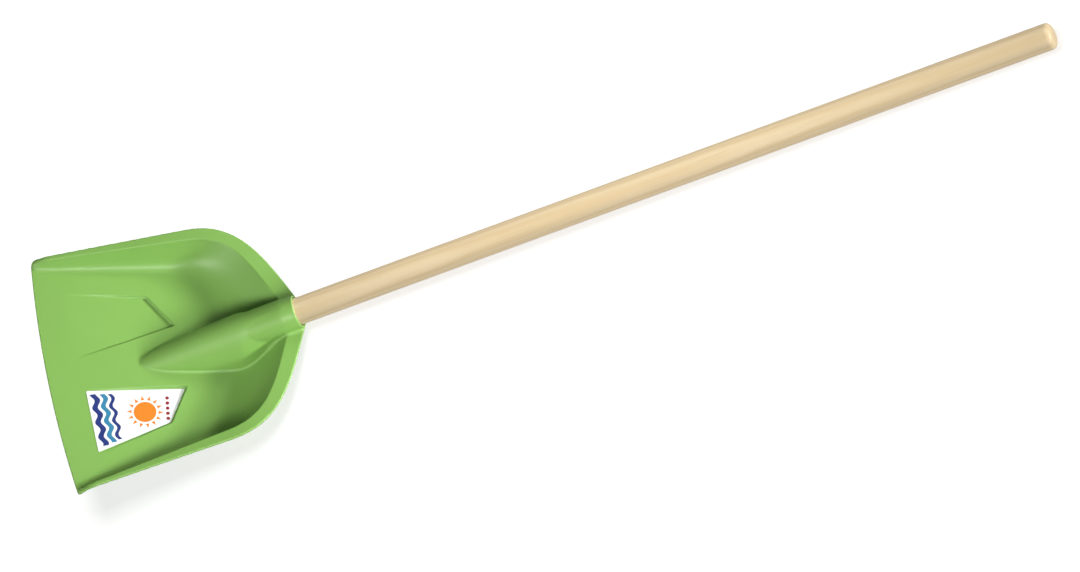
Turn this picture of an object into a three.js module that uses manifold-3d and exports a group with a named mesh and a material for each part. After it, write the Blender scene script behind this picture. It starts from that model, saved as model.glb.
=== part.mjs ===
// A child's scoop shovel: a moulded pan with a handle socket, a turned wooden handle, the screw that fixes
// it and a printed label. Millimetres. The pan is drawn with its floor level, X across and Y from the front
// edge towards the handle, and the whole is then tipped back onto its heel and the end of its handle.
import * as THREE from "three";
import { mergeVertices } from "three/addons/utils/BufferGeometryUtils.js";
import Module from "manifold-3d";

const wasm = await Module();
wasm.setup();

// Moulding
const wall = 2.6;

// Rim: a flat flange along both sides and round the back, widest at the back
const panFrontWidth = 211;
const panLength = 206;
const sideTaperDeg = 4.7;
const shoulderStart = 125;
const rimWidthFront = 2.7;
const rimWidthSide = 8.9;
const rimWidthBack = 13.5;
const rimRoundness = 0.56;
const backRakeDeg = 24;
const rimFrontHeight = 6.8;
const rimSlopeDeg = 9.35;
const rimBackHeight = 30.5;
const rimLevelling = 2.5;
const rimNose = 16;
const rimRise = 0.8;

// Walls, from the flange down to the flat floor
const wallRunFront = 7.3;
const wallRunSide = 16;
const wallRunBack = 43;
const floorShoulderLead = 22;
const floorRoundness = 0.42;
const wallKnee = 0.45;

// Front edge
const frontBow = 5.5;
const frontCornerRadius = 4;

// Panels sunk into the floor on both sides of the spine, running out to nothing at the front
const panelFront = 21;
const panelInnerFront = 14.2;
const panelInnerBack = 27.5;
const panelOuterFront = 73.2;
const panelOuterBack = 57;
const panelLength = 81.2;
const panelOuterLength = 63.4;
const panelDepth = 3;

// Label in the panel on the +X side
const labelMargin = 1.5;
const labelCornerRadius = 1.5;
const labelThickness = 0.25;
const labelGap = 0.1;

// Handle and its socket
const handleDiameter = 22;
const handleLength = 720;
const handleEndRadius = 5;
const handleSeatChamfer = 2;
const handleLiftDeg = 20.4;
const socketDepth = 67;
const socketWall = 3;
const socketLipWall = 1.9;
const socketLipTaper = 12;
const socketEndWall = 2.6;
const socketDraft = 0.8;
const socketClearance = 0.3;
const socketMouthSetback = 7.6;
const socketMouthHeight = 37.6;
const socketMouthChamfer = 0.8;

// Spine that carries the load from the socket into the floor, set out from the socket's mouth but for its tip
const spineTip = 68;
const spineWidestSetback = 49.4;
const spineHalfWidth = 22.6;
const spineNeckSetback = 12.4;
const spineFullness = 0.56;

// Countersunk screw through the underside of the socket
const screwInset = 28;
const screwLength = 16;
const screwShankDiameter = 4;
const screwHeadDiameter = 8;
const screwHeadHeight = 2.3;
const screwTipLength = 4;
const screwSink = 0.4;
const screwClearance = 0.3;
const crossSlotLength = 4.6;
const crossSlotWidth = 1;
const crossSlotDepth = 1.3;

// Steps of the curved surfaces
const sideSteps = 12;
const shoulderSteps = 16;
const wallSteps = 7;
const floorSteps = 3;
const spineSteps = 24;
const archSteps = 20;
const roundSteps = 40;
const cornerSteps = 6;
const weldDistance = 1e-4;

// How far cutting bodies reach past what they cut, and the pan's surface past its front edge
const overcut = 12;
const frontOvercut = 1;

// Search for the resting tilt
const steepestTiltDeg = 60;
const tiltSteps = 50;

const radians = THREE.MathUtils.degToRad;
const { lerp } = THREE.MathUtils;

// Solids and meshes

function solid(geometry) {
  const bare = new THREE.BufferGeometry();
  bare.setAttribute("position", geometry.getAttribute("position"));
  bare.setIndex(geometry.getIndex());
  const merged = mergeVertices(bare, weldDistance);
  return new wasm.Manifold(
    new wasm.Mesh({
      numProp: 3,
      vertProperties: merged.getAttribute("position").array,
      triVerts: new Uint32Array(merged.getIndex().array),
    }),
  );
}

function geometryOf(body) {
  const mesh = body.getMesh();
  const geometry = new THREE.BufferGeometry();
  geometry.setAttribute("position", new THREE.BufferAttribute(mesh.vertProperties, 3));
  geometry.setIndex(new THREE.BufferAttribute(mesh.triVerts, 1));
  geometry.computeVertexNormals();
  return geometry;
}

function named(name, geometry, material) {
  const mesh = new THREE.Mesh(geometry, material);
  mesh.name = name;
  return mesh;
}

// A closed body between two sheets that share one index
function bodyBetween(upper, lower, index) {
  const count = upper.length;
  const triangles = [];
  const open = new Map();
  for (let i = 0; i < index.length; i += 3) {
    const corner = [index[i], index[i + 1], index[i + 2]];
    triangles.push(...corner);
    triangles.push(corner[2] + count, corner[1] + count, corner[0] + count);
    for (let k = 0; k < 3; k += 1) {
      const from = corner[k];
      const to = corner[(k + 1) % 3];
      if (!open.delete(`${to} ${from}`)) open.set(`${from} ${to}`, [from, to]);
    }
  }
  for (const [from, to] of open.values()) {
    triangles.push(to, from, from + count);
    triangles.push(to, from + count, to + count);
  }
  const geometry = new THREE.BufferGeometry().setFromPoints([...upper, ...lower]);
  geometry.setIndex(triangles);
  return solid(geometry);
}

// A closed body through a row of convex sections with equal point counts
function loft(sections) {
  const count = sections[0].length;
  const last = (sections.length - 1) * count;
  const triangles = [];
  for (let s = 0; s < sections.length - 1; s += 1) {
    for (let k = 0; k < count; k += 1) {
      const a = s * count + k;
      const b = s * count + ((k + 1) % count);
      triangles.push(a, b, a + count);
      triangles.push(b, b + count, a + count);
    }
  }
  for (let k = 1; k < count - 1; k += 1) {
    triangles.push(0, k + 1, k);
    triangles.push(last, last + k, last + k + 1);
  }
  const geometry = new THREE.BufferGeometry().setFromPoints(sections.flat());
  geometry.setIndex(triangles);
  return solid(geometry);
}

function extruded(shape, bottom, height) {
  const geometry = new THREE.ExtrudeGeometry(shape, { depth: height, bevelEnabled: false });
  return geometry.translate(0, 0, bottom);
}

function turned(profile) {
  return new THREE.LatheGeometry(profile, roundSteps);
}

function arc(centre, radius, fromDeg, toDeg, steps) {
  const points = [];
  for (let i = 0; i <= steps; i += 1) {
    const angle = radians(lerp(fromDeg, toDeg, i / steps));
    points.push(new THREE.Vector2(Math.cos(angle), Math.sin(angle)).multiplyScalar(radius).add(centre));
  }
  return points;
}

// Pan

// The lower of two heights, with the corner between them eased
function easedMinimum(a, b, ease) {
  return (a + b - Math.hypot(a - b, ease)) / 2;
}

// The rim climbs from the front, levels out at the back, and is rounded down to the floor at the front corners
function rimHeight(y) {
  const slope = rimFrontHeight + y * Math.tan(radians(rimSlopeDeg));
  const ahead = 1 - THREE.MathUtils.clamp(y / rimNose, 0, 1);
  return easedMinimum(slope, rimBackHeight, rimLevelling) * Math.sqrt(1 - ahead * ahead);
}

// Half of a pan outline: a straight side, then a rounded shoulder to the middle of the back
function halfOutline(frontHalf, sideHalf, sideEnd, back, roundness) {
  const overrun = frontBow + frontOvercut;
  const taper = (frontHalf - sideHalf) / sideEnd;
  const rake = Math.tan(radians(backRakeDeg));
  const start = new THREE.Vector2(frontHalf + taper * overrun, -overrun);
  const shoulder = new THREE.Vector2(sideHalf, sideEnd);
  const middle = new THREE.Vector2(0, back);
  const sideHandle = new THREE.Vector2(-taper, 1).multiplyScalar(roundness * (back - sideEnd)).add(shoulder);
  const backHandle = new THREE.Vector2(1, -rake).multiplyScalar(roundness * sideHalf).add(middle);
  const side = [];
  for (let k = 0; k <= sideSteps; k += 1) side.push(start.clone().lerp(shoulder, (k / sideSteps) ** 2));
  const turn = new THREE.CubicBezierCurve(shoulder, sideHandle, backHandle, middle).getPoints(shoulderSteps);
  return [...side, ...turn.slice(1)];
}

const frontHalf = panFrontWidth / 2;
const sideTaper = Math.tan(radians(sideTaperDeg));
const floorShoulder = shoulderStart - floorShoulderLead;
const rimSideHalf = frontHalf - sideTaper * shoulderStart;
const innerFrontHalf = frontHalf - rimWidthFront;
const innerSideHalf = rimSideHalf - rimWidthSide;
const innerTaper = (innerFrontHalf - innerSideHalf) / shoulderStart;
const innerBack = panLength - rimWidthBack;
const floorFrontHalf = innerFrontHalf - wallRunFront;
const floorSideHalf = innerFrontHalf - innerTaper * floorShoulder - wallRunSide;
const floorBack = innerBack - wallRunBack;

function panSurface() {
  const rimEdge = halfOutline(frontHalf, rimSideHalf, shoulderStart, panLength, rimRoundness);
  const rimInner = halfOutline(innerFrontHalf, innerSideHalf, shoulderStart, innerBack, rimRoundness);
  const floorEdge = halfOutline(floorFrontHalf, floorSideHalf, floorShoulder, floorBack, floorRoundness);
  const middleEnd = floorBack - wallRunSide;
  const rows = rimEdge.map((edge, i) => {
    const inner = rimInner[i];
    const foot = floorEdge[i];
    const along = Math.max(0, i - sideSteps) / shoulderSteps;
    const middleY = i <= sideSteps ? foot.y : lerp(floorShoulder, middleEnd, along);
    const top = new THREE.Vector3(inner.x, inner.y, rimHeight(inner.y));
    const base = new THREE.Vector3(foot.x, foot.y, 0);
    const knee = base.clone().lerp(top, wallKnee).setZ(0);
    const middle = new THREE.Vector3(0, middleY, 0);
    const rise = rimRise * Math.min(1, edge.y / shoulderStart);
    const row = [new THREE.Vector3(edge.x, edge.y, rimHeight(edge.y) + rise)];
    row.push(...new THREE.QuadraticBezierCurve3(top, knee, base).getPoints(wallSteps));
    for (let k = 1; k <= floorSteps; k += 1) row.push(base.clone().lerp(middle, k / floorSteps));
    return row;
  });
  const across = rows[0].length;
  const points = [];
  const index = [];
  for (const mirror of [1, -1]) {
    const first = points.length;
    for (const p of rows.flat()) points.push(new THREE.Vector3(p.x * mirror, p.y, p.z));
    for (let i = 0; i < rows.length - 1; i += 1) {
      for (let k = 0; k < across - 1; k += 1) {
        const a = first + i * across + k;
        const b = a + across;
        const quad = [a, b, a + 1, b, b + 1, a + 1];
        index.push(...(mirror > 0 ? quad : quad.reverse()));
      }
    }
  }
  const sheet = new THREE.BufferGeometry().setFromPoints(points).setIndex(index);
  const merged = mergeVertices(sheet, weldDistance);
  merged.computeVertexNormals();
  return merged;
}

function pointsOf(attribute) {
  const points = [];
  for (let i = 0; i < attribute.count; i += 1) {
    points.push(new THREE.Vector3().fromBufferAttribute(attribute, i));
  }
  return points;
}

// The front edge seen from above, bowed forward, with rounded corners; the sides stand clear of the rim
function frontTrim() {
  const reach = panLength + overcut;
  const corner = frontHalf - frontCornerRadius;
  const inset = (corner / frontHalf) ** 2;
  const cornerY = -frontBow * (1 - inset);
  const shape = new THREE.Shape();
  shape.moveTo(-frontHalf, reach);
  shape.lineTo(-frontHalf, frontCornerRadius);
  shape.quadraticCurveTo(-frontHalf, 0, -corner, cornerY);
  shape.quadraticCurveTo(0, -frontBow * (1 + inset), corner, cornerY);
  shape.quadraticCurveTo(frontHalf, 0, frontHalf, frontCornerRadius);
  shape.lineTo(frontHalf, reach);
  return solid(extruded(shape, -overcut, rimBackHeight + rimRise + 2 * overcut));
}

// Spine

const socketMouthY = panLength - socketMouthSetback;
const spineWidest = socketMouthY - spineWidestSetback;
const spineNeck = socketMouthY - spineNeckSetback;
const liftAngle = radians(handleLiftDeg);
const socketFrame = new THREE.Matrix4()
  .makeTranslation(0, socketMouthY, socketMouthHeight)
  .multiply(new THREE.Matrix4().makeRotationX(liftAngle));
const handleRadius = handleDiameter / 2;
const boreRadius = handleRadius + socketClearance;
const socketRadius = boreRadius + socketWall;
const crestAtMouth = socketMouthHeight + socketRadius / Math.cos(liftAngle);

// The crest runs along the top of the socket and dips to the floor at the tip
function crestLine(y) {
  return crestAtMouth - (socketMouthY - y) * Math.tan(liftAngle);
}

function crestHeight(y) {
  const ahead = Math.max(0, (spineWidest - y) / (spineWidest - spineTip));
  return crestLine(y) - crestLine(spineTip) * ahead * ahead;
}

function spineSection(y, thickness, base) {
  const crest = crestHeight(y) - thickness;
  const growing = Math.sqrt(Math.max(0, y - spineTip) / (spineWidest - spineTip));
  const closing = THREE.MathUtils.smoothstep(y, spineWidest, spineNeck);
  const half = spineHalfWidth * Math.min(1, growing) * (1 - closing) + socketRadius * closing - thickness;
  const points = [new THREE.Vector3(half, y, base)];
  for (let k = 0; k <= archSteps; k += 1) {
    const angle = (Math.PI * k) / archSteps;
    points.push(new THREE.Vector3(half * Math.cos(angle), y, crest * Math.sin(angle) ** (2 * spineFullness)));
  }
  points.push(new THREE.Vector3(-half, y, base));
  return points.reverse();
}

function spineBody(from, to, thickness, base) {
  const sections = [];
  for (let s = 0; s <= spineSteps; s += 1) {
    const y = lerp(from, to, s / spineSteps);
    sections.push(spineSection(y, thickness, base));
  }
  return loft(sections);
}

// Socket, in a frame with Y along the handle out of the mouth and Z square to it

function inSocket(geometry) {
  return solid(geometry.applyMatrix4(socketFrame));
}

function socketTube() {
  const end = -socketDepth - socketEndWall;
  return inSocket(
    turned([
      new THREE.Vector2(0, end),
      new THREE.Vector2(socketRadius - socketDraft - socketEndWall, end),
      new THREE.Vector2(socketRadius - socketDraft, end + socketEndWall),
      new THREE.Vector2(socketRadius, -socketLipTaper),
      new THREE.Vector2(boreRadius + socketLipWall, 0),
      new THREE.Vector2(0, 0),
    ]),
  );
}

function socketBore() {
  return inSocket(
    turned([
      new THREE.Vector2(0, -socketDepth - socketClearance),
      new THREE.Vector2(boreRadius, -socketDepth - socketClearance),
      new THREE.Vector2(boreRadius, -socketMouthChamfer),
      new THREE.Vector2(boreRadius + socketMouthChamfer, 0),
      new THREE.Vector2(boreRadius + socketMouthChamfer, overcut),
      new THREE.Vector2(0, overcut),
    ]),
  );
}

// Screw: drawn point up along Y from the face of its head, then stood square to the handle

const screwHeadFace = -(socketRadius - screwSink);

function screwProfile(clearance) {
  const shank = screwShankDiameter / 2 + clearance;
  return [
    new THREE.Vector2(screwHeadDiameter / 2 + clearance, 0),
    new THREE.Vector2(shank, screwHeadHeight),
    new THREE.Vector2(shank, screwLength - screwTipLength + clearance),
    new THREE.Vector2(0, screwLength + clearance),
  ];
}

function standing(geometry) {
  return geometry.rotateX(Math.PI / 2).translate(0, -screwInset, screwHeadFace);
}

function screwGeometry() {
  let body = solid(turned([new THREE.Vector2(0, 0), ...screwProfile(0)]));
  for (const [x, z] of [
    [crossSlotLength, crossSlotWidth],
    [crossSlotWidth, crossSlotLength],
  ]) {
    const slot = new THREE.BoxGeometry(x, 2 * crossSlotDepth, z);
    body = body.subtract(solid(slot));
  }
  return standing(geometryOf(body));
}

// The hole for the screw, open below its head
function screwHole() {
  const profile = screwProfile(screwClearance);
  const mouth = new THREE.Vector2(profile[0].x, -overcut);
  return standing(turned([new THREE.Vector2(0, -overcut), mouth, ...profile]));
}

// Panels

const panelSlope = Math.atan2(panelDepth, panelLength);

// A panel's corners for one side, measured from its front line and moved in by a margin
function panelCorners(side, margin) {
  const corners = [
    new THREE.Vector2(side * panelInnerFront, 0),
    new THREE.Vector2(side * panelOuterFront, 0),
    new THREE.Vector2(side * panelOuterBack, panelOuterLength),
    new THREE.Vector2(side * panelInnerBack, panelLength),
  ];
  if (side < 0) corners.reverse();
  return corners.map((corner, i) => {
    const before = corners[(i + 3) % 4];
    const after = corners[(i + 1) % 4];
    const arriving = corner.clone().sub(before).normalize();
    const leaving = after.clone().sub(corner).normalize();
    const reach = margin / arriving.cross(leaving);
    return corner.clone().addScaledVector(leaving, reach).addScaledVector(arriving, -reach);
  });
}

// From the sunk plane of a panel into the pan's own frame
const panelFrame = new THREE.Matrix4()
  .makeTranslation(0, panelFront, 0)
  .multiply(new THREE.Matrix4().makeRotationX(-panelSlope));

function panelCut(side) {
  return solid(extruded(new THREE.Shape(panelCorners(side, 0)), 0, overcut).applyMatrix4(panelFrame));
}

// Material under a panel, so that the wall keeps its thickness there
function panelBacking(side) {
  const outline = panelCorners(side, -wall).map((p) => new THREE.Vector2(p.x, p.y + panelFront));
  const block = solid(extruded(new THREE.Shape(outline), -wall / 2 - overcut, overcut));
  const wider = new THREE.Shape(panelCorners(side, -2 * overcut));
  const below = solid(extruded(wider, -wall - 2 * overcut, 2 * overcut).applyMatrix4(panelFrame));
  return block.subtract(below);
}

function scoopGeometry() {
  const sheet = panSurface();
  const index = Array.from(sheet.getIndex().array);
  const upper = pointsOf(sheet.getAttribute("position"));
  const normals = pointsOf(sheet.getAttribute("normal"));
  const lower = upper.map((p, i) => p.clone().addScaledVector(normals[i], -wall));
  const sky = lower.map((p) => p.clone().setZ(crestAtMouth + overcut));

  let body = bodyBetween(upper, lower, index).intersect(frontTrim());
  const abovePan = bodyBetween(sky, lower, index);
  body = body.add(spineBody(spineTip, spineNeck, 0, -overcut).intersect(abovePan));
  for (const side of [1, -1]) body = body.add(panelBacking(side));
  const hollowStart = spineTip + (2 * wall) / Math.tan(liftAngle);
  body = body.subtract(spineBody(hollowStart, spineNeck, wall, -overcut));
  body = body.add(socketTube()).subtract(socketBore()).subtract(inSocket(screwHole()));
  for (const side of [1, -1]) body = body.subtract(panelCut(side));
  return geometryOf(body);
}

function labelGeometry() {
  const corners = panelCorners(1, labelMargin);
  const shape = new THREE.Shape();
  corners.forEach((corner, i) => {
    const before = corners[(i + 3) % 4].clone().sub(corner).setLength(labelCornerRadius).add(corner);
    const after = corners[(i + 1) % 4].clone().sub(corner).setLength(labelCornerRadius).add(corner);
    if (i === 0) shape.moveTo(before.x, before.y);
    else shape.lineTo(before.x, before.y);
    shape.quadraticCurveTo(corner.x, corner.y, after.x, after.y);
  });
  return extruded(shape, labelGap, labelThickness).applyMatrix4(panelFrame);
}

function handleGeometry() {
  const seat = -socketDepth;
  const end = handleLength - socketDepth;
  const roundingCentre = new THREE.Vector2(handleRadius - handleEndRadius, end - handleEndRadius);
  const stick = turned([
    new THREE.Vector2(0, seat),
    new THREE.Vector2(handleRadius - handleSeatChamfer, seat),
    new THREE.Vector2(handleRadius, seat + handleSeatChamfer),
    ...arc(roundingCentre, handleEndRadius, 0, 90, cornerSteps),
    new THREE.Vector2(0, end),
  ]);
  return geometryOf(solid(stick).subtract(solid(screwHole())));
}

// Resting pose

function worldPoints(mesh) {
  mesh.updateWorldMatrix(true, false);
  return pointsOf(mesh.geometry.getAttribute("position")).map((p) => p.applyMatrix4(mesh.matrixWorld));
}

function lowest(points, tilt) {
  return points.reduce((least, p) => Math.min(least, p.z * Math.cos(tilt) - p.y * Math.sin(tilt)), Infinity);
}

// The tilt at which the heel of the pan and the end of the handle touch the ground together
function restingTilt(panPoints, handlePoints) {
  let level = 0;
  let steep = radians(steepestTiltDeg);
  for (let i = 0; i < tiltSteps; i += 1) {
    const tilt = (level + steep) / 2;
    if (lowest(handlePoints, tilt) > lowest(panPoints, tilt)) level = tilt;
    else steep = tilt;
  }
  return (level + steep) / 2;
}

// Materials

const polypropylene = new THREE.MeshStandardMaterial({ color: 0x6cb43a, roughness: 0.38, metalness: 0 });
const paleWood = new THREE.MeshStandardMaterial({ color: 0xe6cda0, roughness: 0.55, metalness: 0 });
const zincSteel = new THREE.MeshStandardMaterial({ color: 0xc3c6c9, roughness: 0.35, metalness: 1 });
const printedFilm = new THREE.MeshStandardMaterial({ color: 0xf4f3f0, roughness: 0.3, metalness: 0 });

// Assembly

const scoop = named("scoop", scoopGeometry(), polypropylene);
const label = named("label", labelGeometry(), printedFilm);
const handle = named("handle", handleGeometry(), paleWood);
const screw = named("fixing_screw", screwGeometry(), zincSteel);

const inMouth = new THREE.Group();
inMouth.position.set(0, socketMouthY, socketMouthHeight);
inMouth.rotation.x = liftAngle;
inMouth.add(handle, screw);

const tipped = new THREE.Group();
tipped.add(scoop, label, inMouth);
tipped.rotation.x = -restingTilt(worldPoints(scoop), worldPoints(handle));

const shovel = new THREE.Group();
shovel.add(tipped);
const extent = new THREE.Box3().setFromPoints([scoop, handle].flatMap(worldPoints));
const middle = extent.getCenter(new THREE.Vector3());
tipped.position.set(-middle.x, -middle.y, -extent.min.z);

export default shovel;
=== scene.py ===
import math

import bmesh
import bpy
import numpy as np
from mathutils import Matrix, Vector


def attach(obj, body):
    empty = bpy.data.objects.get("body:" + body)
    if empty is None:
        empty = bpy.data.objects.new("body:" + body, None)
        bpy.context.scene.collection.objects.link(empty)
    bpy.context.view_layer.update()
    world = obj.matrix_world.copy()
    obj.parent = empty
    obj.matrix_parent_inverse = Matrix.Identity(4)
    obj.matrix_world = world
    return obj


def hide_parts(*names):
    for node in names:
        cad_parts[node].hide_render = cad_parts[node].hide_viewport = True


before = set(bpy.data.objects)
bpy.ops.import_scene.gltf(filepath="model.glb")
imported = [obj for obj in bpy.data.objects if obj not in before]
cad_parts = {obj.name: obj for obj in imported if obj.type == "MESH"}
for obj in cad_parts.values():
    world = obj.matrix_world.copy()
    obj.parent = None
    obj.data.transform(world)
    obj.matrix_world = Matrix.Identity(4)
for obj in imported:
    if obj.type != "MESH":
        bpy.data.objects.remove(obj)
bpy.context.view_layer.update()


# Scoop
# One injection moulding in green polypropylene: the pan with its flat rim, the spine up its middle and the
# socket that takes the handle. Hollow below, with two panels sunk into the floor beside the spine.

wall = 2.6
pan_front_half = 105.5
pan_length = 206.0
side_taper = math.tan(math.radians(4.7))
shoulder_start = 125.0
rim_width_front = 2.7
rim_width_side = 8.9
rim_width_back = 13.5
rim_roundness = 0.56
back_rake = math.tan(math.radians(24.0))
rim_front_height = 6.8
rim_slope = math.tan(math.radians(9.35))
rim_back_height = 30.5
rim_levelling = 2.5
rim_nose = 16.0
rim_rise = 0.8
wall_run_front = 7.3
wall_run_side = 16.0
wall_run_back = 43.0
floor_shoulder_lead = 22.0
floor_roundness = 0.42
wall_knee = 0.45
front_bow = 5.5
front_corner_radius = 4.0
handle_radius = 11.0
handle_lift = math.radians(20.4)
socket_depth = 67.0
socket_wall = 3.0
socket_lip_wall = 1.9
socket_lip_taper = 12.0
socket_end_wall = 2.6
socket_draft = 0.8
socket_clearance = 0.3
socket_mouth = Vector((0.0, 198.4, 37.6))
socket_mouth_chamfer = 0.8
spine_tip = 68.0
spine_widest = 149.0
spine_half_width = 22.6
spine_neck = 186.0
spine_fullness = 0.64
round_sides = 96
hole_sides = 48
overcut = 12.0

# The shovel is drawn with its floor level and then lies tipped back on its heel and the end of its handle
lying_tilt = 0.3681905919298648
lying_place = Vector((0.0, -422.7970277, 55.1975733))
lying = Matrix.Scale(0.001, 4) @ Matrix.Translation(lying_place) @ Matrix.Rotation(-lying_tilt, 4, "X")
in_socket = Matrix.Translation(socket_mouth) @ Matrix.Rotation(handle_lift, 4, "X")


def solid(name, points, faces, place=Matrix()):
    mesh = bpy.data.meshes.new(name)
    mesh.from_pydata([place @ Vector(p) for p in points], [], [list(map(int, f)) for f in faces])
    shape = bmesh.new()
    shape.from_mesh(mesh)
    bmesh.ops.remove_doubles(shape, verts=shape.verts, dist=1e-4)
    bmesh.ops.dissolve_degenerate(shape, edges=shape.edges, dist=1e-5)
    bmesh.ops.recalc_face_normals(shape, faces=shape.faces)
    shape.to_mesh(mesh)
    shape.free()
    thing = bpy.data.objects.new(name, mesh)
    bpy.context.scene.collection.objects.link(thing)
    return thing


def lofted(sections):
    """Points and faces through a row of closed sections with equal point counts, capped at both ends."""
    rows, count = len(sections), len(sections[0])
    points = [p for section in sections for p in section]
    faces = [list(range(count)), list(range((rows - 1) * count, rows * count))]
    for s in range(rows - 1):
        for k in range(count):
            a, b = s * count + k, s * count + (k + 1) % count
            faces.append((a, b, b + count, a + count))
    return points, faces


def turned(profile, steps):
    """Points and faces of a profile of (radius, along) turned about the Y axis."""
    points, faces = [], []
    for radius, along in profile:
        for k in range(steps):
            turn = math.tau * k / steps
            points.append((radius * math.cos(turn), along, radius * math.sin(turn)))
    for s in range(len(profile) - 1):
        for k in range(steps):
            a, b = s * steps + k, s * steps + (k + 1) % steps
            faces.append((a, b, b + steps, a + steps))
    if profile[0][0] > 1e-6:
        faces.append(list(range(steps)))
    if profile[-1][0] > 1e-6:
        faces.append(list(range((len(profile) - 1) * steps, len(profile) * steps)))
    return points, faces


def extruded(outline, bottom, top):
    count = len(outline)
    points = [(x, y, bottom) for x, y in outline] + [(x, y, top) for x, y in outline]
    faces = [list(range(count)), list(range(count, 2 * count))]
    faces += [(k, (k + 1) % count, (k + 1) % count + count, k + count) for k in range(count)]
    return points, faces


def half_outline(front_half, side_half, side_end, back, roundness):
    """Half of a pan outline: a straight side, then a rounded shoulder to the middle of the back."""
    lead = front_bow + 1.0
    taper = (front_half - side_half) / side_end
    start = np.array((front_half + taper * lead, -lead))
    shoulder = np.array((side_half, side_end))
    middle = np.array((0.0, back))
    side_handle = shoulder + np.array((-taper, 1.0)) * roundness * (back - side_end)
    back_handle = middle + np.array((1.0, -back_rake)) * roundness * side_half
    s = np.linspace(0.0, 1.0, 61)[:, None] ** 2
    t = np.linspace(0.0, 1.0, 73)[1:, None]
    side = start + (shoulder - start) * s
    turn = (1 - t) ** 3 * shoulder + 3 * (1 - t) ** 2 * t * side_handle
    turn = turn + 3 * (1 - t) * t**2 * back_handle + t**3 * middle
    return np.vstack((side, turn))


def rim_height(y):
    slope = rim_front_height + y * rim_slope
    eased = (slope + rim_back_height - np.hypot(slope - rim_back_height, rim_levelling)) / 2
    ahead = 1.0 - np.clip(y / rim_nose, 0.0, 1.0)
    return eased * np.sqrt(1.0 - ahead**2)


rim_side_half = pan_front_half - side_taper * shoulder_start
inner_front_half = pan_front_half - rim_width_front
inner_side_half = rim_side_half - rim_width_side
inner_taper = (inner_front_half - inner_side_half) / shoulder_start
inner_back = pan_length - rim_width_back
floor_shoulder = shoulder_start - floor_shoulder_lead
floor_front_half = inner_front_half - wall_run_front
floor_side_half = inner_front_half - inner_taper * floor_shoulder - wall_run_side
floor_back = inner_back - wall_run_back

rim_edge = half_outline(pan_front_half, rim_side_half, shoulder_start, pan_length, rim_roundness)
rim_inner = half_outline(inner_front_half, inner_side_half, shoulder_start, inner_back, rim_roundness)
floor_edge = half_outline(floor_front_half, floor_side_half, floor_shoulder, floor_back, floor_roundness)
shoulder_row = 60
pan_rows = len(rim_edge)
back_share = np.clip((np.arange(pan_rows) - shoulder_row) / (pan_rows - 1 - shoulder_row), 0.0, 1.0)
middle_line = np.where(
    back_share > 0.0,
    floor_shoulder + (floor_back - wall_run_side - floor_shoulder) * back_share,
    floor_edge[:, 1],
)
rim_top = rim_height(rim_edge[:, 1]) + rim_rise * np.minimum(1.0, rim_edge[:, 1] / shoulder_start)
columns = [np.column_stack((rim_edge, rim_top))]
wall_top = np.column_stack((rim_inner, rim_height(rim_inner[:, 1])))
wall_foot = np.column_stack((floor_edge, np.zeros(pan_rows)))
knee = wall_foot + (wall_top - wall_foot) * wall_knee
knee[:, 2] = 0.0

# Down the inside of the pan the wall is straight and then turns into the floor in a rounded foot. Towards the middle
# of the back the foot takes up the whole wall, where the heel is.
foot_reach = np.linalg.norm(wall_foot - knee, axis=1)
wall_reach = np.linalg.norm(wall_top - knee, axis=1)
bend_share = np.minimum(1.0, foot_reach / np.maximum(wall_reach, 1e-6))
bend_share = bend_share + (1.0 - bend_share) * back_share
bend = knee + (wall_top - knee) * bend_share[:, None]
for t in np.linspace(0.0, 1.0, 10)[:-1]:
    columns.append(wall_top + (bend - wall_top) * t)
for t in np.linspace(0.0, 1.0, 25):
    columns.append((1 - t) ** 2 * bend + 2 * (1 - t) * t * knee + t**2 * wall_foot)
centre = np.column_stack((np.zeros(pan_rows), middle_line, np.zeros(pan_rows)))
for t in np.linspace(0.0, 1.0, 7)[1:]:
    columns.append(wall_foot + (centre - wall_foot) * t)
half = np.stack(columns, axis=1)
upper = np.concatenate((half, (half * (-1.0, 1.0, 1.0))[:, -2::-1]), axis=1)
rows, across = upper.shape[:2]
cells = np.arange(rows * across).reshape(rows, across)
quads = np.stack((cells[:-1, :-1], cells[:-1, 1:], cells[1:, 1:], cells[1:, :-1]), axis=-1).reshape(-1, 4)
upper = upper.reshape(-1, 3)

sheet = bmesh.new()
for p in upper:
    sheet.verts.new(p)
sheet.verts.ensure_lookup_table()
for quad in quads:
    sheet.faces.new([sheet.verts[i] for i in quad])
bmesh.ops.remove_doubles(sheet, verts=sheet.verts, dist=1e-4)
sheet.verts.index_update()
sheet.normal_update()
facing = 1.0 if sum(v.normal.z for v in sheet.verts) > 0 else -1.0
upper = np.array([v.co for v in sheet.verts])
lower = upper - wall * facing * np.array([v.normal for v in sheet.verts])
sheet_faces = [[v.index for v in f.verts] for f in sheet.faces]
edge_loop = [[v.index for v in e.verts] for e in sheet.edges if e.is_boundary]
sheet.free()


def between(name, top, bottom):
    count = len(top)
    faces = sheet_faces + [[i + count for i in reversed(f)] for f in sheet_faces]
    faces += [(a, b, b + count, a + count) for a, b in edge_loop]
    return solid(name, np.vstack((top, bottom)), faces)


socket_radius = handle_radius + socket_clearance + socket_wall
crest_at_mouth = socket_mouth.z + socket_radius / math.cos(handle_lift)
sky = lower.copy()
sky[:, 2] = crest_at_mouth + overcut
pan = between("pan", upper, lower)
above_pan = between("above_pan", sky, lower)

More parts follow.
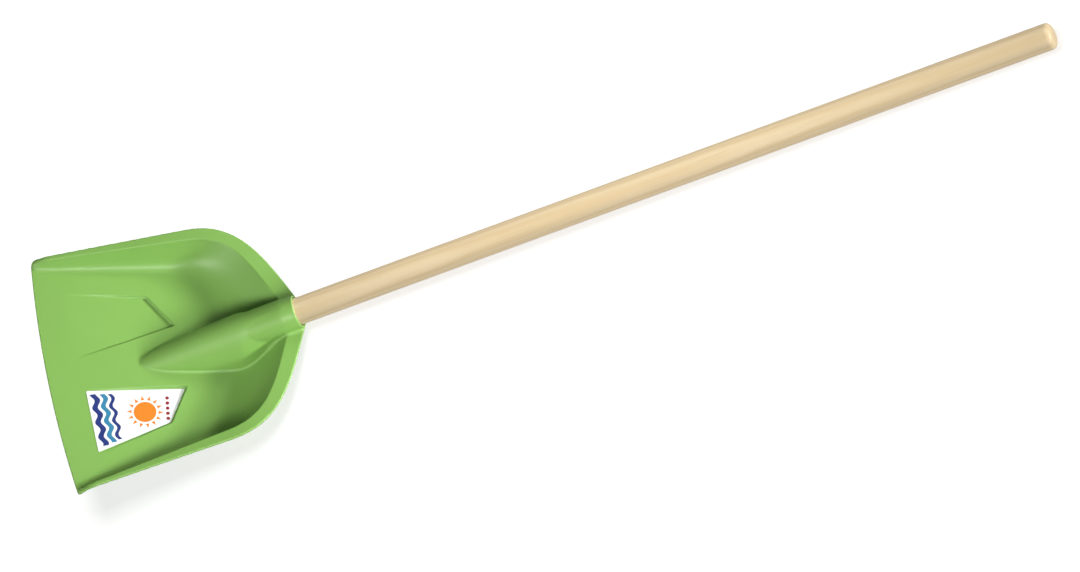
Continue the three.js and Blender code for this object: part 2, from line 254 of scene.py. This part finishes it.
# The front edge seen from above, bowed forward with rounded corners
corner = pan_front_half - front_corner_radius
front = [(-pan_front_half, pan_length + overcut), (-pan_front_half, front_corner_radius)]
corner_start, corner_tip = np.array(front[-1]), np.array((-pan_front_half, 0.0))
corner_end = np.array((-corner, -front_bow * (1 - (corner / pan_front_half) ** 2)))
for t in np.linspace(0.0, 1.0, 9)[1:]:
    front.append(tuple((1 - t) ** 2 * corner_start + 2 * (1 - t) * t * corner_tip + t**2 * corner_end))
front += [(x, -front_bow * (1 - (x / pan_front_half) ** 2)) for x in np.linspace(-corner, 0.0, 33)[1:]]
front += [(-x, y) for x, y in front[-2::-1]]
front_trim = solid("front_trim", *extruded(front, -overcut, rim_back_height + 2 * overcut))


def spine(name, start, inset):
    sections = []
    for y in np.linspace(start, spine_neck, 81):
        ahead = max(0.0, (spine_widest - y) / (spine_widest - spine_tip))
        line = crest_at_mouth - (socket_mouth.y - y) * math.tan(handle_lift)
        tip_line = crest_at_mouth - (socket_mouth.y - spine_tip) * math.tan(handle_lift)
        crest = line - tip_line * ahead**2 - inset
        growing = min(1.0, math.sqrt(max(0.0, y - spine_tip) / (spine_widest - spine_tip)))
        t = min(1.0, max(0.0, (y - spine_widest) / (spine_neck - spine_widest)))
        closing = t * t * (3 - 2 * t)
        width = spine_half_width * growing * (1 - closing) + socket_radius * closing - inset
        arch = np.linspace(0.0, math.pi, 61)
        section = [(width, y, -overcut)]
        section += [(width * math.cos(a), y, crest * max(0.0, math.sin(a)) ** (2 * spine_fullness)) for a in arch]
        section += [(-width, y, -overcut)]
        sections.append(section)
    return solid(name, *lofted(sections))


spine_solid = spine("spine", spine_tip, 0.0)
hollow = spine("hollow", spine_tip + 2 * wall / math.tan(handle_lift), wall)

bore_radius = handle_radius + socket_clearance
tube_end = -socket_depth - socket_end_wall
tube = solid(
    "tube",
    *turned(
        [
            (0.0, tube_end),
            (socket_radius - socket_draft - socket_end_wall, tube_end),
            (socket_radius - socket_draft, tube_end + socket_end_wall),
            (socket_radius, -socket_lip_taper),
            (bore_radius + socket_lip_wall, 0.0),
            (0.0, 0.0),
        ],
        round_sides,
    ),
    in_socket,
)
bore_end = -socket_depth - socket_clearance
bore = solid(
    "bore",
    *turned(
        [
            (0.0, bore_end),
            (bore_radius, bore_end),
            (bore_radius, -socket_mouth_chamfer),
            (bore_radius + socket_mouth_chamfer, 0.0),
            (bore_radius + socket_mouth_chamfer, overcut),
            (0.0, overcut),
        ],
        round_sides,
    ),
    in_socket,
)

# Hole in the underside of the socket for the countersunk screw
screw_inset = 28.0
screw_sink = 0.4
screw_clearance = 0.3
screw_head_radius = 4.0
screw_head_height = 2.3
screw_shank_radius = 2.0
screw_length = 16.0
screw_stand = (
    in_socket
    @ Matrix.Translation((0.0, -screw_inset, -(socket_radius - screw_sink)))
    @ Matrix.Rotation(math.pi / 2, 4, "X")
)
hole = solid(
    "hole",
    *turned(
        [
            (0.0, -overcut),
            (screw_head_radius + screw_clearance, -overcut),
            (screw_head_radius + screw_clearance, 0.0),
            (screw_shank_radius + screw_clearance, screw_head_height),
            (screw_shank_radius + screw_clearance, screw_length),
            (0.0, screw_length),
        ],
        hole_sides,
    ),
    screw_stand,
)

# Panels: each sunk plane leaves the floor at the panel's front line and is deepest at its back
panel_front = 21.0
panel_depth = 3.0
panel_length = 81.2
panel_plane = Matrix.Translation((0.0, panel_front, 0.0)) @ Matrix.Rotation(
    -math.atan2(panel_depth, panel_length), 4, "X"
)
panel_corners = np.array(((14.2, 0.0), (73.2, 0.0), (57.0, 63.4), (27.5, panel_length)))


def inset_outline(corners, margin):
    count = len(corners)
    moved = []
    for i, corner in enumerate(corners):
        arriving = corner - corners[i - 1]
        leaving = corners[(i + 1) % count] - corner
        arriving = arriving / np.linalg.norm(arriving)
        leaving = leaving / np.linalg.norm(leaving)
        reach = margin / (arriving[0] * leaving[1] - arriving[1] * leaving[0])
        moved.append(corner + leaving * reach - arriving * reach)
    return np.array(moved)


backings = []
panel_cuts = []
for side in (1.0, -1.0):
    mirror = np.array((side, 1.0))
    under = inset_outline(panel_corners, -wall) * mirror
    far_under = inset_outline(panel_corners, -2 * overcut) * mirror
    under[:, 1] += panel_front
    backing = solid("backing", *extruded(under, -wall / 2 - overcut, -wall / 2))
    below = solid("below", *extruded(far_under, -wall - 2 * overcut, -wall), panel_plane)
    trim = backing.modifiers.new("trim", "BOOLEAN")
    trim.operation = "DIFFERENCE"
    trim.solver = "MANIFOLD"
    trim.object = below
    backings.append((backing, below))
    panel_cuts.append(solid("panel_cut", *extruded(panel_corners * mirror, 0.0, overcut), panel_plane))

over = spine_solid.modifiers.new("over_pan", "BOOLEAN")
over.operation = "INTERSECT"
over.solver = "MANIFOLD"
over.object = above_pan

steps = [("INTERSECT", front_trim), ("UNION", spine_solid)]
steps += [("UNION", backing) for backing, _ in backings]
steps += [("DIFFERENCE", hollow), ("UNION", tube), ("DIFFERENCE", bore), ("DIFFERENCE", hole)]
steps += [("DIFFERENCE", cut) for cut in panel_cuts]
for operation, tool in steps:
    step = pan.modifiers.new(tool.name, "BOOLEAN")
    step.operation = operation
    step.solver = "MANIFOLD"
    step.object = tool

# One even mesh of the whole moulding, fine enough for its small edges
mesh_step = 0.7
even = pan.modifiers.new("even", "REMESH")
even.mode = "VOXEL"
even.voxel_size = mesh_step

moulding = bpy.data.meshes.new_from_object(pan.evaluated_get(bpy.context.evaluated_depsgraph_get()))
for tool in [t for _, t in steps] + [above_pan, pan] + [below for _, below in backings]:
    bpy.data.objects.remove(tool)

count = len(moulding.vertices)
points = np.empty(count * 3)
moulding.vertices.foreach_get("co", points)
points = points.reshape(-1, 3)
ends = np.empty(len(moulding.edges) * 2, dtype=np.int64)
moulding.edges.foreach_get("vertices", ends)
ends = ends.reshape(-1, 2)
near = np.bincount(ends.ravel(), minlength=count)


def mean_of_near(values):
    total = np.empty_like(values)
    for axis in range(values.shape[1]):
        total[:, axis] = np.bincount(ends[:, 0], values[ends[:, 1], axis], count)
        total[:, axis] += np.bincount(ends[:, 1], values[ends[:, 0], axis], count)
    return total / near[:, None]


# Mould edges are rounded a little everywhere, and the foot of the spine runs into the pan in a fillet, which is
# widest at the neck
edge_rounds = 6
crease = 0.03
foot_margin = 8.0
foot_lead = 12.0
foot_spread = 3
foot_rounds = 14
neck_half_width = 21.0
neck_lead = 4.0
neck_height = 13.0
neck_rounds = 40
for _ in range(edge_rounds):
    points = points + 0.5 * (mean_of_near(points) - points)
    points = points - 0.52 * (mean_of_near(points) - points)
moulding.vertices.foreach_set("co", points.ravel())
moulding.update()
normals = np.empty(count * 3)
moulding.vertices.foreach_get("normal", normals)
normals = normals.reshape(-1, 3)
hollowness = np.sum((mean_of_near(points) - points) * normals, axis=1)
beside_spine = (np.abs(points[:, 0]) < spine_half_width + foot_margin) & (points[:, 1] > spine_tip - foot_lead)
on_top = points[:, 2] > -0.5
foot = ((hollowness > crease) & beside_spine & on_top).astype(float)[:, None]
for _ in range(foot_spread):
    foot = np.maximum(foot, mean_of_near(foot))
for _ in range(foot_spread):
    foot = mean_of_near(foot)
for _ in range(foot_rounds):
    points = points + 0.6 * foot * (mean_of_near(points) - points)
at_neck = (np.abs(points[:, 0]) < neck_half_width) & (points[:, 1] > spine_widest + neck_lead)
at_neck = at_neck & (points[:, 2] > neck_height)
for _ in range(neck_rounds):
    points = points + 0.6 * foot * at_neck[:, None] * (mean_of_near(points) - points)

place = np.array(lying)
points = points @ place[:3, :3].T + place[:3, 3]
moulding.vertices.foreach_set("co", points.ravel())
moulding.shade_smooth()
moulding.update()
scoop = bpy.data.objects.new("scoop_moulding", moulding)
bpy.context.scene.collection.objects.link(scoop)
fewer = scoop.modifiers.new("fewer_faces", "DECIMATE")
fewer.ratio = 0.36
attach(scoop, "root")
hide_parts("scoop")


def linear(hex_colour):
    parts = [int(hex_colour[i : i + 2], 16) / 255 for i in (1, 3, 5)]
    return [p / 12.92 if p <= 0.04045 else ((p + 0.055) / 1.055) ** 2.4 for p in parts] + [1.0]


def node(tree, kind, settings=None, **links):
    """Adds a node, sets its properties and its sockets, and links those that are given as sockets."""
    made = tree.nodes.new(kind)
    for key, value in (settings or {}).items():
        setattr(made, key, value)
    for key, value in links.items():
        numbered = key[0] == "i" and key[1:].isdigit()
        socket = made.inputs[int(key[1:]) if numbered else key.replace("_", " ")]
        if isinstance(value, bpy.types.NodeSocket):
            tree.links.new(value, socket)
        else:
            socket.default_value = value
    return made


# Moulded polypropylene: slightly waxy satin, with the fine grain of the spark-eroded mould and a faint
# cloudiness of the colour where the melt flowed, in clouds of about 45 mm with 12 mm patches of gloss. The grain of
# the real mould is about 0.05 mm, too fine to show, so it is drawn at 0.7 mm.
flow_cloud = 0.045
gloss_patch = 0.012
mould_grain = 0.0007
polypropylene = bpy.data.materials.new("polypropylene_moulded")
polypropylene.use_nodes = True
tree = polypropylene.node_tree
shader = tree.nodes["Principled BSDF"]
shader.inputs["IOR"].default_value = 1.49
green_light, green_deep = linear("#7daa54"), linear("#78a54e")
where = node(tree, "ShaderNodeTexCoord").outputs["Object"]
cloud = node(tree, "ShaderNodeTexNoise", Vector=where, Scale=1 / flow_cloud, Detail=3.0, Roughness=0.5)
tint = node(
    tree, "ShaderNodeMix", {"data_type": "RGBA"}, Factor=cloud.outputs["Fac"], i6=green_deep, i7=green_light
)
tree.links.new(tint.outputs[2], shader.inputs["Base Color"])
sheen = node(tree, "ShaderNodeTexNoise", Vector=where, Scale=1 / gloss_patch, Detail=4.0, Roughness=0.6)
gloss = node(tree, "ShaderNodeMapRange", Value=sheen.outputs["Fac"], To_Min=0.38, To_Max=0.48)
tree.links.new(gloss.outputs["Result"], shader.inputs["Roughness"])
grit = node(tree, "ShaderNodeTexNoise", Vector=where, Scale=1 / mould_grain, Detail=2.0, Roughness=0.5)
relief = node(tree, "ShaderNodeBump", Strength=0.06, Distance=0.0002, Height=grit.outputs["Fac"])
tree.links.new(relief.outputs["Normal"], shader.inputs["Normal"])
scoop.data.materials.clear()
scoop.data.materials.append(polypropylene)


# Handle
# A round stick of pale wood, turned and sanded, rounded at its free end and clear-lacquered. It is seated in
# the socket and held there by the screw.

handle_length = 720.0
handle_end_radius = 5.0
handle_seat_chamfer = 2.0
handle_end_flat = 3.0
handle_end = handle_length - socket_depth
profile = [(0.0, -socket_depth), (handle_radius - handle_seat_chamfer, -socket_depth)]
profile += [(handle_radius, -socket_depth + handle_seat_chamfer)]
profile += [(handle_radius, y) for y in np.linspace(-socket_depth + 12, handle_end - handle_end_radius - 2, 60)]
for turn in np.linspace(0.0, math.pi / 2, 13):
    profile.append(
        (
            handle_radius - handle_end_radius * (1 - math.cos(turn)),
            handle_end - handle_end_radius * (1 - math.sin(turn)),
        )
    )
profile += [(handle_end_flat, handle_end), (0.0, handle_end)]
handle = solid("handle_stick", *turned(profile, round_sides), lying @ in_socket)
handle.data.shade_smooth()
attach(handle, "root")
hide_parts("handle")

# Turned pale hardwood under clear lacquer: straight grain with faint growth rings, fine dark fibres along it,
# and arcs of rings on the end. The rings are 3.4 mm apart. Real fibres are about 0.2 mm wide, too fine to show, so
# they are drawn 1.1 mm wide.
ring_spacing = 0.003356
wave_turn = 20.0
fibre_width = 0.0011
fibre_stretch = 0.018
wood = bpy.data.materials.new("pale_wood_turned")
wood.use_nodes = True
tree = wood.node_tree
shader = tree.nodes["Principled BSDF"]
shader.inputs["IOR"].default_value = 1.5
where = node(tree, "ShaderNodeTexCoord").outputs["Object"]
pith = node(tree, "ShaderNodeMapping", Vector=where, Location=(0.043, 0.0, 0.061), Rotation=(0.012, 0.0, 0.02))
rings = node(
    tree,
    "ShaderNodeTexWave",
    {"wave_type": "RINGS", "rings_direction": "Y", "wave_profile": "SIN"},
    Vector=pith.outputs["Vector"],
    Scale=math.tau / wave_turn / ring_spacing,
    Distortion=2.5,
    Detail=2.0,
    Detail_Scale=0.12,
)
along = node(tree, "ShaderNodeMapping", Vector=where, Scale=(1.0, fibre_stretch, 1.0))
fibres = node(
    tree, "ShaderNodeTexNoise", Vector=along.outputs["Vector"], Scale=1 / fibre_width, Detail=4.0, Roughness=0.6
)
pale, ringed, fibre = linear("#f0dab2"), linear("#ead0a2"), linear("#d3b283")
ring_tint = node(tree, "ShaderNodeMix", {"data_type": "RGBA"}, Factor=rings.outputs["Fac"], i6=pale, i7=ringed)
streak = node(tree, "ShaderNodeMapRange", Value=fibres.outputs["Fac"], From_Min=0.55, From_Max=0.8, To_Max=0.5)
grain = node(
    tree, "ShaderNodeMix", {"data_type": "RGBA"}, Factor=streak.outputs["Result"], i6=ring_tint.outputs[2], i7=fibre
)
tree.links.new(grain.outputs[2], shader.inputs["Base Color"])
polish = node(tree, "ShaderNodeMapRange", Value=fibres.outputs["Fac"], To_Min=0.32, To_Max=0.46)
tree.links.new(polish.outputs["Result"], shader.inputs["Roughness"])
relief = node(tree, "ShaderNodeBump", Strength=0.08, Distance=0.0003, Height=fibres.outputs["Fac"])
tree.links.new(relief.outputs["Normal"], shader.inputs["Normal"])
handle.data.materials.append(wood)


# Screw
# A countersunk wood screw of zinc-plated steel, driven up through the underside of the socket into the handle.
# Rolled thread, pressed cross recess.

thread_pitch = 1.8
thread_root = 1.4
screw_tip = 4.0
screw_sides = 32
head_land = 0.22
head_bevel = 0.25
neck_radius = 1.6
recess_reach = 2.3
recess_half_width = 0.5
recess_depth = 1.3
rows = []
for along in np.linspace(screw_head_height, screw_length, 150):
    left = min(1.0, (screw_length - along) / screw_tip)
    ring = []
    for k in range(screw_sides):
        turn = math.tau * k / screw_sides
        phase = (along / thread_pitch - k / screw_sides) % 1.0
        ridge = max(0.0, 1.0 - abs(phase - 0.5) * 3.4)
        radius = max(0.02, (thread_root + (screw_shank_radius - thread_root) * ridge) * left)
        ring.append((radius * math.cos(turn), along, radius * math.sin(turn)))
    rows.append(ring)
head_profile = [(screw_head_radius - head_bevel, 0.0), (screw_head_radius, head_land)]
head_profile += [(neck_radius, screw_head_height - 0.1)]
head = []
for radius, along in head_profile:
    turns = [math.tau * k / screw_sides for k in range(screw_sides)]
    head.append([(radius * math.cos(turn), along, radius * math.sin(turn)) for turn in turns])
screw = solid("fixing_screw_steel", *lofted(head + rows))
cross_arms = []
for turn in (0.0, math.pi / 2):
    wide, deep = recess_reach, recess_half_width
    mouth = [(-wide, -1.0, -deep), (wide, -1.0, -deep), (wide, -1.0, deep), (-wide, -1.0, deep)]
    floor_arm = [(-wide * 0.35, recess_depth, -deep * 0.8), (wide * 0.35, recess_depth, -deep * 0.8)]
    floor_arm += [(wide * 0.35, recess_depth, deep * 0.8), (-wide * 0.35, recess_depth, deep * 0.8)]
    arm = solid("cross_arm", *lofted([mouth, floor_arm]), Matrix.Rotation(turn, 4, "Y"))
    press = screw.modifiers.new("press", "BOOLEAN")
    press.operation = "DIFFERENCE"
    press.solver = "MANIFOLD"
    press.object = arm
    cross_arms.append(arm)
pressed = bpy.data.meshes.new_from_object(screw.evaluated_get(bpy.context.evaluated_depsgraph_get()))
screw.modifiers.clear()
screw.data = pressed
for arm in cross_arms:
    bpy.data.objects.remove(arm)
screw.data.transform(lying @ screw_stand)
screw.data.shade_smooth()
screw.data.set_sharp_from_angle(angle=math.radians(35))
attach(screw, "root")
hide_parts("fixing_screw")

# Zinc-plated steel: a pale, slightly blue metal, cloudy from the plating bath in patches of about 1.2 mm
bath_patch = 0.0012
zinc = bpy.data.materials.new("steel_zinc_plated")
zinc.use_nodes = True
tree = zinc.node_tree
shader = tree.nodes["Principled BSDF"]
shader.inputs["Metallic"].default_value = 1.0
where = node(tree, "ShaderNodeTexCoord").outputs["Object"]
bath = node(tree, "ShaderNodeTexNoise", Vector=where, Scale=1 / bath_patch, Detail=3.0)
plating = node(
    tree,
    "ShaderNodeMix",
    {"data_type": "RGBA"},
    Factor=bath.outputs["Fac"],
    i6=linear("#b9bfc4"),
    i7=linear("#d3d6d6"),
)
tree.links.new(plating.outputs[2], shader.inputs["Base Color"])
dull = node(tree, "ShaderNodeMapRange", Value=bath.outputs["Fac"], To_Min=0.25, To_Max=0.42)
tree.links.new(dull.outputs["Result"], shader.inputs["Roughness"])
screw.data.materials.clear()
screw.data.materials.append(zinc)


# Label
# A die-cut white film with a printed pattern of waves, a sun and dots, stuck into the panel on one side.
# The inks lie on the film as thin layers.

label_margin = 1.5
label_corner_radius = 1.5
film_bottom = 0.1
film_top = 0.3
ink_lift = 0.02
print_margin = 2.5
wave_length = 13.0
wave_swell = 1.5
sun_radius = 9.0
ray_foot = 10.6
ray_tip = 14.6
ray_half_width = 1.5
dot_radius = 1.5
white, blue, navy, orange, red = range(5)
stuck = inset_outline(panel_corners, label_margin)
cut_line = []
for i, corner in enumerate(stuck):
    before = stuck[i - 1] - corner
    after = stuck[(i + 1) % 4] - corner
    before = corner + before / np.linalg.norm(before) * label_corner_radius
    after = corner + after / np.linalg.norm(after) * label_corner_radius
    for t in np.linspace(0.0, 1.0, 7):
        cut_line.append(tuple((1 - t) ** 2 * before + 2 * (1 - t) * t * corner + t**2 * after))
label_points, label_faces = extruded(cut_line, film_bottom, film_top)
label_inks = [white] * len(label_faces)


def printed(outline, ink):
    start = len(label_points)
    layer_points, layer_faces = extruded(outline, film_top - ink_lift, film_top + ink_lift)
    label_points.extend(layer_points)
    label_faces.extend([start + i for i in face] for face in layer_faces)
    label_inks.extend([ink] * len(layer_faces))


def label_span(y):
    """The printable width at a height up the label, clear of its cut edges."""
    inner = stuck[0][0] + (stuck[3][0] - stuck[0][0]) * (y - stuck[0][1]) / (stuck[3][1] - stuck[0][1])
    outer = stuck[1][0] + (stuck[2][0] - stuck[1][0]) * (y - stuck[1][1]) / (stuck[2][1] - stuck[1][1])
    return inner + print_margin, outer - print_margin


def disc(centre, radius, sides):
    turns = np.linspace(0.0, math.tau, sides, endpoint=False)
    return [tuple(centre + radius * np.array((math.cos(a), math.sin(a)))) for a in turns]


for base, height, ink in ((5.0, 4.6, navy), (12.0, 4.0, blue), (18.4, 3.0, navy)):
    x_from, x_to = label_span(base + 5.0)
    across_wave = np.linspace(x_from, x_to, 49)
    swell = wave_swell * np.sin(math.tau * (across_wave - x_from) / wave_length + base)
    lower_edge = list(zip(across_wave, base + swell))
    upper_edge = list(zip(across_wave[::-1], base + height + swell[::-1]))
    printed(lower_edge + upper_edge, ink)
sun = np.array((43.0, 44.0))
printed(disc(sun, sun_radius, 48), orange)
for a in np.linspace(0.0, math.tau, 14, endpoint=False):
    out = np.array((math.cos(a), math.sin(a)))
    beside = np.array((-out[1], out[0])) * ray_half_width
    ray = (sun + ray_foot * out - beside, sun + ray_tip * out, sun + ray_foot * out + beside)
    printed([tuple(p) for p in ray], orange)
for k in range(5):
    printed(disc(np.array((34.0 + 4.5 * k, 63.4 - 0.6 * k)), dot_radius, 20), red)
label_mesh = bpy.data.meshes.new("label_film")
label_mesh.from_pydata([lying @ panel_plane @ Vector(p) for p in label_points], [], label_faces)
label_mesh.polygons.foreach_set("material_index", label_inks)
label_shape = bmesh.new()
label_shape.from_mesh(label_mesh)
bmesh.ops.recalc_face_normals(label_shape, faces=label_shape.faces)
label_shape.to_mesh(label_mesh)
label_shape.free()
label = bpy.data.objects.new("label_film", label_mesh)
bpy.context.scene.collection.objects.link(label)
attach(label, "root")
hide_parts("label")

# Printed polypropylene film: white, glossy, with a slight unevenness of the print and, in patches of 9 mm, of the
# glue below. Real print dots are about 0.15 mm, too fine to show, so they are drawn at 1.5 mm.
print_dot = 0.0015
glue_patch = 0.009
for name, colour, mottled in (
    ("film_white", "#e9eae9", "#e1e3e1"),
    ("film_blue_ink", "#3780a1", "#307596"),
    ("film_navy_ink", "#293778", "#23306d"),
    ("film_orange_ink", "#d78129", "#d27721"),
    ("film_red_ink", "#8b2531", "#811f29"),
):
    film = bpy.data.materials.new(name)
    film.use_nodes = True
    tree = film.node_tree
    shader = tree.nodes["Principled BSDF"]
    shader.inputs["IOR"].default_value = 1.49
    where = node(tree, "ShaderNodeTexCoord").outputs["Object"]
    dots = node(tree, "ShaderNodeTexNoise", Vector=where, Scale=1 / print_dot, Detail=3.0)
    inked = node(
        tree, "ShaderNodeMix", {"data_type": "RGBA"}, Factor=dots.outputs["Fac"], i6=linear(colour), i7=linear(mottled)
    )
    tree.links.new(inked.outputs[2], shader.inputs["Base Color"])
    glaze = node(tree, "ShaderNodeMapRange", Value=dots.outputs["Fac"], To_Min=0.3, To_Max=0.42)
    tree.links.new(glaze.outputs["Result"], shader.inputs["Roughness"])
    glue = node(tree, "ShaderNodeTexNoise", Vector=where, Scale=1 / glue_patch, Detail=2.0)
    relief = node(tree, "ShaderNodeBump", Strength=0.05, Distance=0.0005, Height=glue.outputs["Fac"])
    tree.links.new(relief.outputs["Normal"], shader.inputs["Normal"])
    label_mesh.materials.append(film)


# Floor, lights and camera
# A plain pale floor that photographs white, soft lamps round the shovel and a camera at the photograph's angle,
# with a long lens from far off, so that the view is nearly parallel.

ground = bpy.data.meshes.new("floor")
ground.from_pydata([(-30, -30, 0), (30, -30, 0), (30, 30, 0), (-30, 30, 0)], [], [(0, 1, 2, 3)])
floor = bpy.data.objects.new("floor", ground)
bpy.context.scene.collection.objects.link(floor)

# Matt white acrylic, lit from below, most of all for the lens, so that only the deeper shadows show on it. It is
# clear from below, for looking at the underside.
acrylic = bpy.data.materials.new("acrylic_floor")
acrylic.use_nodes = True
tree = acrylic.node_tree
tree.nodes.remove(tree.nodes["Principled BSDF"])
seen = node(tree, "ShaderNodeLightPath").outputs["Is Camera Ray"]
bright = node(tree, "ShaderNodeMapRange", Value=seen, To_Min=0.22, To_Max=0.78)
matt = node(tree, "ShaderNodeBsdfDiffuse", Color=(0.62, 0.62, 0.62, 1.0))
glow = node(tree, "ShaderNodeEmission", Color=(1.0, 1.0, 1.0, 1.0), Strength=bright.outputs["Result"])
lit = node(tree, "ShaderNodeAddShader", i0=matt.outputs[0], i1=glow.outputs[0])
clear = node(tree, "ShaderNodeBsdfTransparent")
below = node(tree, "ShaderNodeNewGeometry").outputs["Backfacing"]
one_sided = node(tree, "ShaderNodeMixShader", Fac=below, i1=lit.outputs[0], i2=clear.outputs[0])
tree.links.new(one_sided.outputs[0], tree.nodes["Material Output"].inputs["Surface"])
ground.materials.append(acrylic)

world = bpy.data.worlds.new("studio")
bpy.context.scene.world = world
world.use_nodes = True
tree = world.node_tree
room = tree.nodes["Background"]
room.inputs["Color"].default_value = (1.0, 1.0, 1.0, 1.0)
seen = node(tree, "ShaderNodeLightPath")
strength = node(tree, "ShaderNodeMapRange", Value=seen.outputs["Is Camera Ray"], To_Min=0.03, To_Max=1.0)
tree.links.new(strength.outputs["Result"], room.inputs["Strength"])


def aimed(thing, azimuth, elevation, roll, distance, aim):
    a, e = math.radians(azimuth), math.radians(elevation)
    back = Vector((math.sin(a) * math.cos(e), -math.cos(a) * math.cos(e), math.sin(e)))
    right = Vector((math.cos(a), math.sin(a), 0.0))
    up = back.cross(right)
    turn = math.radians(roll)
    right, up = right * math.cos(turn) + up * math.sin(turn), up * math.cos(turn) - right * math.sin(turn)
    place = Matrix((right, up, back)).transposed().to_4x4()
    place.translation = Vector(aim) + back * distance
    thing.matrix_world = place


# Flags keep each lamp to its own part of the set, as barn doors do in a studio
on_pan, on_handle, on_floor = (bpy.data.collections.new(name) for name in ("on_pan", "on_handle", "on_floor"))
for lit_part, things in ((on_pan, (scoop, label, screw)), (on_handle, (handle, screw)), (on_floor, (floor,))):
    for thing in things:
        lit_part.objects.link(thing)
mid_pan, mid_handle, far_handle = (0.0, -0.33, 0.03), (0.0, -0.02, 0.02), (0.0, 0.47, 0.02)
for name, lit_part, azimuth, elevation, distance, aim, size, spread, watts in (
    ("back_softbox", on_pan, 165.0, 6.0, 2.2, mid_pan, 0.3, 25.0, 1.22),
    ("far_softbox", on_pan, 192.0, 8.0, 2.2, mid_pan, 0.3, 25.0, 0.707),
    ("fill_softbox", on_pan, 100.0, 45.0, 2.2, mid_pan, 0.7, 25.0, 1.03),
    ("front_softbox", on_pan, 32.0, 32.0, 2.2, mid_pan, 0.5, 25.0, 0.544),
    ("overhead_softbox", on_pan, 185.0, 66.0, 2.2, mid_pan, 0.6, 25.0, 0.122),
    ("handle_softbox", on_handle, 225.0, 60.0, 1.8, mid_handle, 0.4, 60.0, 2.6),
    ("handle_front_softbox", on_handle, 108.0, 38.0, 2.2, mid_handle, 0.6, 60.0, 3.0),
    ("handle_end_softbox", on_handle, 175.0, 6.0, 2.0, far_handle, 0.3, 25.0, 0.6),
    ("floor_softbox", on_floor, 0.0, 89.0, 2.2, (0.0, 0.0, 0.0), 1.0, 180.0, 24.0),
):
    lamp = bpy.data.lights.new(name, "AREA")
    lamp.size = size
    lamp.spread = math.radians(spread)
    lamp.energy = watts
    softbox = bpy.data.objects.new(name, lamp)
    bpy.context.scene.collection.objects.link(softbox)
    aimed(softbox, azimuth, elevation, 0.0, distance, aim)
    softbox.light_linking.receiver_collection = lit_part

bpy.context.scene.view_settings.view_transform = "Standard"
lens = bpy.data.cameras.new("camera")
lens.sensor_width = 36.0
lens.lens = 676.68
lens.clip_end = 100.0
camera = bpy.data.objects.new("camera", lens)
bpy.context.scene.collection.objects.link(camera)
aimed(camera, 120.025, 58.241, -46.579, 16.0, (0.04428, -0.0302, 0.0))
bpy.context.scene.camera = camera
